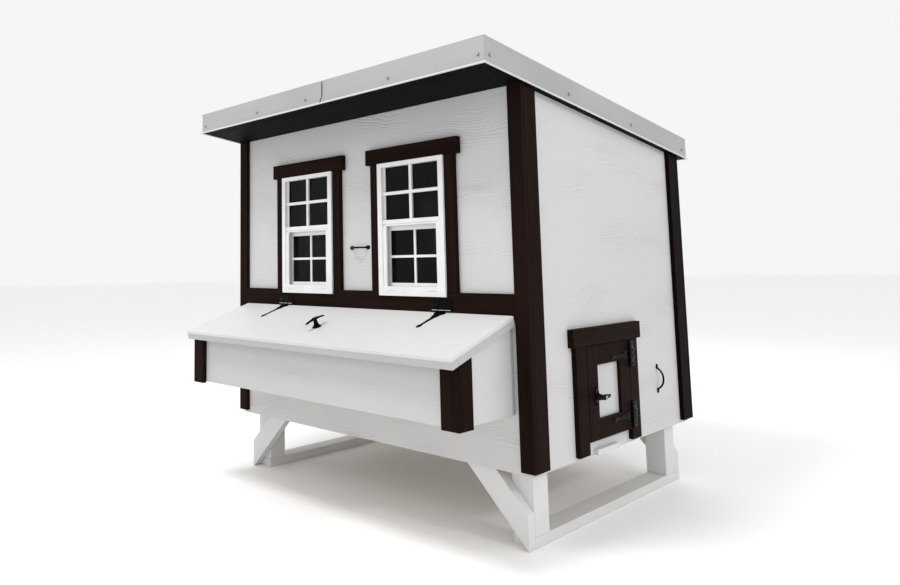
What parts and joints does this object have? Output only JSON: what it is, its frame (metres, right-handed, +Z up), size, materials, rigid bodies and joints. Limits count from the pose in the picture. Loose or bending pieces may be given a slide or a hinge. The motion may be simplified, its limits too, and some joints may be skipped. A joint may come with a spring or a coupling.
{
  "type": "chicken coop",
  "caption": "Raised mono-pitch chicken coop with painted siding, sash windows, an outside nest box with hinged lid, a small hen door and a rear access door.",
  "frame": {"origin": "on the ground at the middle of the coop's outer box", "axes": "+Z up, windows and nest box face -Y, the chicken door faces +X, the rear access door faces +Y"},
  "size_m": [1.76, 1.6796, 1.7227],
  "materials": {
    "white_siding": "satin paint over embossed wood grain",
    "white_board": "smooth satin paint",
    "base_paint": "satin paint",
    "brown_trim": "satin dark brown paint over grain",
    "bare_timber": "bare sawn softwood",
    "plywood": "bare plywood",
    "white_vinyl": "matte vinyl",
    "window_glass": "clear glass",
    "door_pane": "clear acrylic",
    "black_hardware": "black powder coat",
    "soffit_paint": "dark charcoal paint",
    "roof_metal": "ribbed coated steel",
    "edge_metal": "bent coated steel, satin"
  },
  "bodies": {
    "house": {"base_runners": "base_paint", "base_legs": "base_paint", "base_braces": "base_paint", "floor_frame": "bare_timber", "floor_panel": "plywood", "front_wall_frame": "bare_timber", "back_wall_frame": "bare_timber", "side_wall_frames": "bare_timber", "front_siding": "white_siding", "back_siding": "white_siding", "left_siding": "white_siding", "right_siding": "white_siding", "front_left_corner_trim": "brown_trim", "front_right_corner_trim": "brown_trim", "back_left_corner_trim": "brown_trim", "back_right_corner_trim": "brown_trim", "front_band_board": "brown_trim", "window_headers": "brown_trim", "window_jamb_trims": "brown_trim", "left_window_frame": "white_vinyl", "right_window_frame": "white_vinyl", "upper_window_glass": "window_glass", "nest_front_panel": "white_siding", "nest_side_panels": "white_siding", "nest_floor": "plywood", "nest_dividers": "plywood", "nest_rails": "bare_timber", "nest_corner_trims": "brown_trim", "hinge_leaves": "black_hardware", "hinge_pins": "black_hardware", "chicken_door_casing": "brown_trim", "ramp_cleat": "white_board", "rear_door_casing": "brown_trim", "bow_pulls": "black_hardware", "roost_bars": "bare_timber", "roost_cradles": "bare_timber", "roof_frame": "soffit_paint", "roof_deck": "plywood", "roof_sheet": "roof_metal", "roof_edge_trims": "edge_metal", "roof_trim_screws": "edge_metal"},
    "nest_lid": {"nest_lid_panel": "white_board", "nest_lid_edging": "white_board", "nest_lid_straps": "black_hardware", "lid_handle_plate": "black_hardware"},
    "lid_latch": {"lid_handle": "black_hardware"},
    "chicken_door": {"chicken_door_frame": "brown_trim", "chicken_door_pane": "door_pane", "chicken_door_straps": "black_hardware", "chicken_door_plate": "black_hardware"},
    "chicken_door_latch": {"chicken_door_handle": "black_hardware"},
    "rear_door": {"rear_door_frame": "brown_trim", "rear_door_panel": "white_siding", "rear_door_straps": "black_hardware", "rear_door_plate": "black_hardware"},
    "rear_door_latch": {"rear_door_handle": "black_hardware"},
    "left_sash": {"left_lower_sash": "white_vinyl", "left_sash_glass": "window_glass"},
    "right_sash": {"right_lower_sash": "white_vinyl", "right_sash_glass": "window_glass"}
  },
  "joints": [
    {"name": "nest_lid_hinge", "type": "hinge", "parent": "house", "child": "nest_lid", "pos_m": [-0.014, -0.49518, 0.7936], "axis": [-1, 0, 0], "range_deg": [0, 95]},
    {"name": "lid_latch_turn", "type": "hinge", "parent": "nest_lid", "child": "lid_latch", "pos_m": [-0.032, -0.69336, 0.72395], "axis": [0, 0.309, -0.9511], "range_deg": [0, 90]},
    {"name": "chicken_door_hinge", "type": "hinge", "parent": "house", "child": "chicken_door", "pos_m": [0.841, 0.19882, 0.483], "axis": [0, 0, 1], "range_deg": [0, 120]},
    {"name": "chicken_door_latch_turn", "type": "hinge", "parent": "chicken_door", "child": "chicken_door_latch", "pos_m": [0.836, -0.07018, 0.471], "axis": [-1, 0, 0], "range_deg": [0, 90]},
    {"name": "rear_door_hinge", "type": "hinge", "parent": "house", "child": "rear_door", "pos_m": [-0.566, 0.77482, 0.735], "axis": [0, 0, 1], "range_deg": [0, 110]},
    {"name": "rear_door_latch_turn", "type": "hinge", "parent": "rear_door", "child": "rear_door_latch", "pos_m": [0.496, 0.76982, 0.735], "axis": [0, -1, 0], "range_deg": [0, 90]},
    {"name": "left_sash_slide", "type": "slide", "parent": "house", "child": "left_sash", "axis": [0, 0, 1], "range_m": [0, 0.22]},
    {"name": "right_sash_slide", "type": "slide", "parent": "house", "child": "right_sash", "axis": [0, 0, 1], "range_m": [0, 0.22]}
  ]
}
